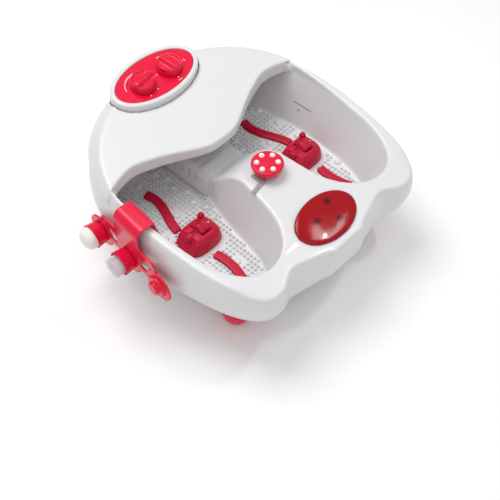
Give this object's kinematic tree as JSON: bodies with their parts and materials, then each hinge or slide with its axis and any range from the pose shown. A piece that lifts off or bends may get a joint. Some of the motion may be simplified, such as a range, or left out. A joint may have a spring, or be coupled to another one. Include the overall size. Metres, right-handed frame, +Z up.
{
  "type": "foot spa basin",
  "caption": "Foot spa basin with two foot wells, control hood, lift-out rollers, ribbed infrared lamp, ball head and accessory holder hung on the rim.",
  "frame": {"origin": "centre of the cord hub's underside, on the floor below the middle of the ridge", "axes": "+Z up, +Y towards the toe end with the control hood, +X to the right of someone facing the hood"},
  "size_m": [0.3993, 0.392, 0.2],
  "materials": {
    "white_shell": "smooth gloss",
    "crimson_gloss": "smooth gloss",
    "crimson_satin": "satin",
    "red_lens": "fine ribbed, translucent",
    "grey_clip": "satin",
    "pearl_ball": "polished",
    "steel": "plain",
    "aluminium_sheet": "mill finish",
    "brass_pin": "plain",
    "black_rubber": "soft matt",
    "clear_tube": "soft matt",
    "board": "lacquered",
    "lamp_glass": "dark",
    "terry_pad": "looped pile",
    "bristle": "fine filament",
    "pump_case": "satin"
  },
  "bodies": {
    "basin": {"tub": "white_shell", "base_shell": "white_shell", "hood": "white_shell", "vent_block": "white_shell", "panel_bezel": "white_shell", "feet": "crimson_gloss", "base_screws": "steel", "hood_screws": "steel", "cord_hub": "white_shell", "power_cord": "black_rubber", "cord_grommet": "black_rubber", "plug": "black_rubber", "plug_pins": "brass_pin", "hood_seal": "black_rubber", "control_panel": "crimson_gloss", "temperature_switch": "pump_case", "mode_switch": "pump_case", "control_board": "board", "infrared_lens": "red_lens", "lens_gasket": "black_rubber", "lamp_reflector": "aluminium_sheet", "led_board": "board", "infrared_leds": "lamp_glass", "bubble_strip_left": "crimson_satin", "bubble_strip_right": "crimson_satin", "head_socket": "white_shell", "head_clip": "grey_clip", "heater_plates": "aluminium_sheet", "heating_element": "steel", "thermostat": "brass_pin", "air_pump": "pump_case", "air_hoses": "clear_tube", "vibration_motor": "steel", "motor_bracket": "pump_case", "wire_harness": "black_rubber"},
    "temperature_control": {"temperature_knob": "crimson_gloss", "temperature_shaft": "steel"},
    "mode_control": {"mode_knob": "crimson_gloss", "mode_shaft": "steel"},
    "cradle_left": {"roller_cradle_left": "crimson_satin", "roller_axle_left": "steel"},
    "roller_left": {"foot_roller_left": "crimson_gloss"},
    "cradle_right": {"roller_cradle_right": "crimson_satin", "roller_axle_right": "steel"},
    "roller_right": {"foot_roller_right": "crimson_gloss"},
    "head": {"ball_head": "crimson_gloss"},
    "ball_1": {"massage_ball_1": "pearl_ball"},
    "ball_2": {"massage_ball_2": "pearl_ball"},
    "ball_3": {"massage_ball_3": "pearl_ball"},
    "ball_4": {"massage_ball_4": "pearl_ball"},
    "ball_5": {"massage_ball_5": "pearl_ball"},
    "ball_6": {"massage_ball_6": "pearl_ball"},
    "holder": {"accessory_holder": "crimson_gloss"},
    "cushion": {"cushion_cup": "crimson_gloss", "cushion_pad": "terry_pad"},
    "brush": {"brush_cup": "crimson_gloss", "brush_bristles": "bristle"},
    "eccentric": {"motor_shaft": "steel", "eccentric_weight": "steel"}
  },
  "joints": [
    {"name": "temperature_turn", "type": "hinge", "parent": "basin", "child": "temperature_control", "pos_m": [-0.0235, 0.14902, 0.1837], "axis": [0, -0.0995, 0.995], "range_deg": [-270, 0]},
    {"name": "mode_turn", "type": "hinge", "parent": "basin", "child": "mode_control", "pos_m": [0.0235, 0.14902, 0.1837], "axis": [0, -0.0995, 0.995], "range_deg": [-90, 90]},
    {"name": "cradle_left_lift", "type": "slide", "parent": "basin", "child": "cradle_left", "axis": [0, 0, 1], "range_m": [0, 0.08]},
    {"name": "cradle_right_lift", "type": "slide", "parent": "basin", "child": "cradle_right", "axis": [0, 0, 1], "range_m": [0, 0.08]},
    {"name": "roller_left_spin", "type": "hinge", "parent": "cradle_left", "child": "roller_left", "pos_m": [-0.098, -0.024, 0.096], "axis": [1, 0, 0], "continuous": true},
    {"name": "roller_right_spin", "type": "hinge", "parent": "cradle_right", "child": "roller_right", "pos_m": [0.098, -0.024, 0.096], "axis": [1, 0, 0], "continuous": true},
    {"name": "head_lift", "type": "slide", "parent": "basin", "child": "head", "axis": [0, 0, 1], "range_m": [0, 0.05]},
    {"name": "holder_lift", "type": "slide", "parent": "basin", "child": "holder", "axis": [0, 0, 1], "range_m": [0, 0.1]},
    {"name": "cushion_pull", "type": "slide", "parent": "holder", "child": "cushion", "axis": [-0.9962, 0.0872, 0], "range_m": [0, 0.05]},
    {"name": "brush_pull", "type": "slide", "parent": "holder", "child": "brush", "axis": [-0.9962, 0.0872, 0], "range_m": [0, 0.05]},
    {"name": "eccentric_spin", "type": "hinge", "parent": "basin", "child": "eccentric", "pos_m": [0, -0.03, 0.047], "axis": [0, 1, 0], "continuous": true},
    {"name": "ball_1_roll", "type": "hinge", "parent": "head", "child": "ball_1", "pos_m": [0.01304, -0.04851, 0.1652], "axis": [-0.2588, 0.9659, 0], "continuous": true},
    {"name": "ball_2_roll", "type": "hinge", "parent": "head", "child": "ball_2", "pos_m": [0.00349, -0.03896, 0.1652], "axis": [-0.9659, 0.2588, 0], "continuous": true},
    {"name": "ball_3_roll", "type": "hinge", "parent": "head", "child": "ball_3", "pos_m": [-0.00955, -0.04245, 0.1652], "axis": [-0.7071, -0.7071, 0], "continuous": true},
    {"name": "ball_4_roll", "type": "hinge", "parent": "head", "child": "ball_4", "pos_m": [-0.01304, -0.05549, 0.1652], "axis": [0.2588, -0.9659, 0], "continuous": true},
    {"name": "ball_5_roll", "type": "hinge", "parent": "head", "child": "ball_5", "pos_m": [-0.00349, -0.06504, 0.1652], "axis": [0.9659, -0.2588, 0], "continuous": true},
    {"name": "ball_6_roll", "type": "hinge", "parent": "head", "child": "ball_6", "pos_m": [0.00955, -0.06155, 0.1652], "axis": [0.7071, 0.7071, 0], "continuous": true}
  ]
}
